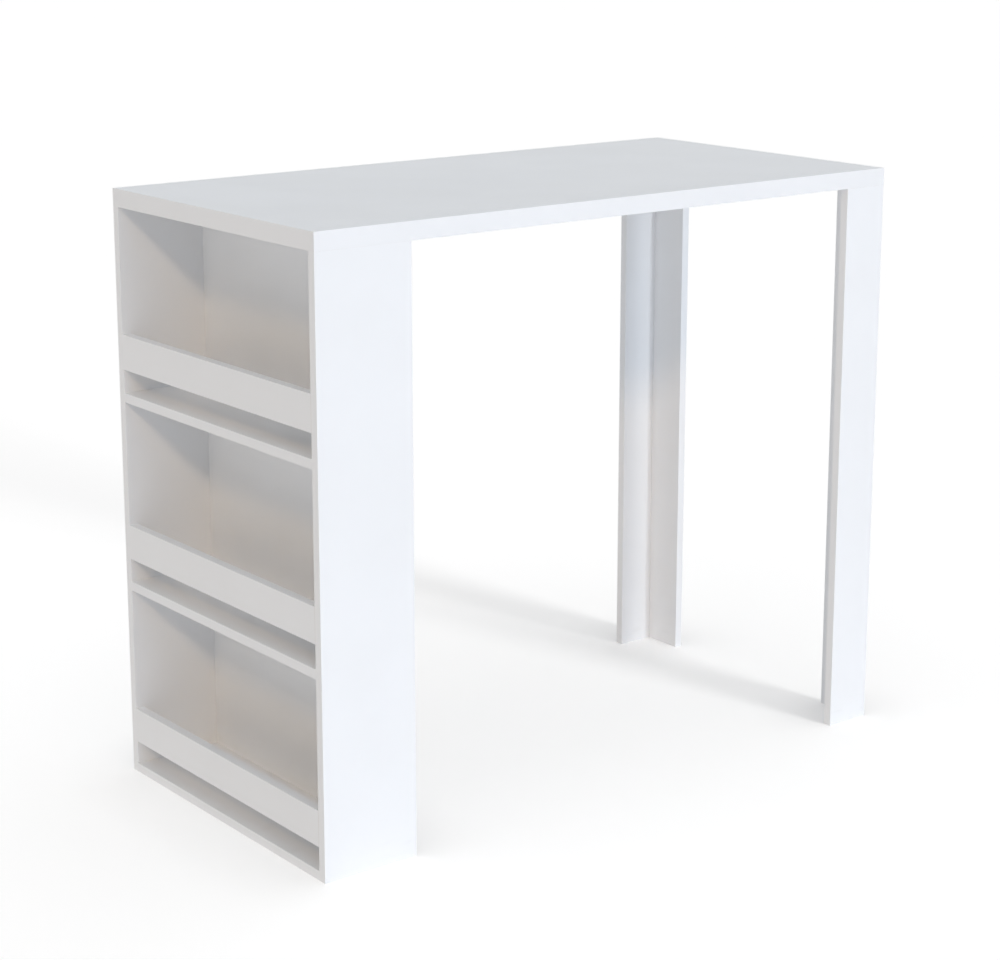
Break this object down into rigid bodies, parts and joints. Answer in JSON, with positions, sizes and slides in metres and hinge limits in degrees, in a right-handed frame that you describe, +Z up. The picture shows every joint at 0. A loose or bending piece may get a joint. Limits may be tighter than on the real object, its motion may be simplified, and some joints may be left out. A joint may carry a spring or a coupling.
{
  "type": "bar table with shelves",
  "caption": "High rectangular bar table in white board, with an open column of railed shelves under its left end and slim angle legs under the other end.",
  "frame": {"origin": "on the floor, at the middle of the table's footprint", "axes": "+X along the top from the shelf end to the leg end, +Y from the front to the rear, +Z up"},
  "size_m": [1.2, 0.6, 1.02],
  "materials": {
    "white_board": "white melamine-faced board, satin, very fine pearl grain",
    "white_edging": "white plastic edging, satin",
    "zinc_cam": "die-cast zinc, dull",
    "plated_steel": "zinc-plated steel",
    "white_cover": "white self-adhesive cover, satin",
    "beech": "bare beech"
  },
  "bodies": {
    "root": {"back_panel_dowels": "beech", "bottom_rail": "white_board", "bottom_rail_edging": "white_edging", "bottom_shelf": "white_board", "bottom_shelf_edging": "white_edging", "column_back_panel": "white_board", "column_top_cam_bolts": "plated_steel", "column_top_cam_covers": "white_cover", "column_top_cams": "zinc_cam", "column_top_dowels": "beech", "front_cheek": "white_board", "front_cheek_edging": "white_edging", "front_leg_edging": "white_edging", "front_leg_face_board": "white_board", "front_leg_side_board": "white_board", "front_leg_tongue": "beech", "leg_top_cam_bolts": "plated_steel", "leg_top_cam_covers": "white_cover", "leg_top_cams": "zinc_cam", "leg_top_dowels": "beech", "middle_rail": "white_board", "middle_rail_edging": "white_edging", "middle_shelf": "white_board", "middle_shelf_edging": "white_edging", "rail_dowels": "beech", "rear_cheek": "white_board", "rear_cheek_edging": "white_edging", "rear_leg_edging": "white_edging", "rear_leg_face_board": "white_board", "rear_leg_side_board": "white_board", "rear_leg_tongue": "beech", "shelf_cam_bolts": "plated_steel", "shelf_cam_covers": "white_cover", "shelf_cams": "zinc_cam", "shelf_dowels": "beech", "table_top": "white_board", "table_top_edging": "white_edging", "upper_rail": "white_board", "upper_rail_edging": "white_edging", "upper_shelf": "white_board", "upper_shelf_edging": "white_edging"}
  },
  "joints": []
}
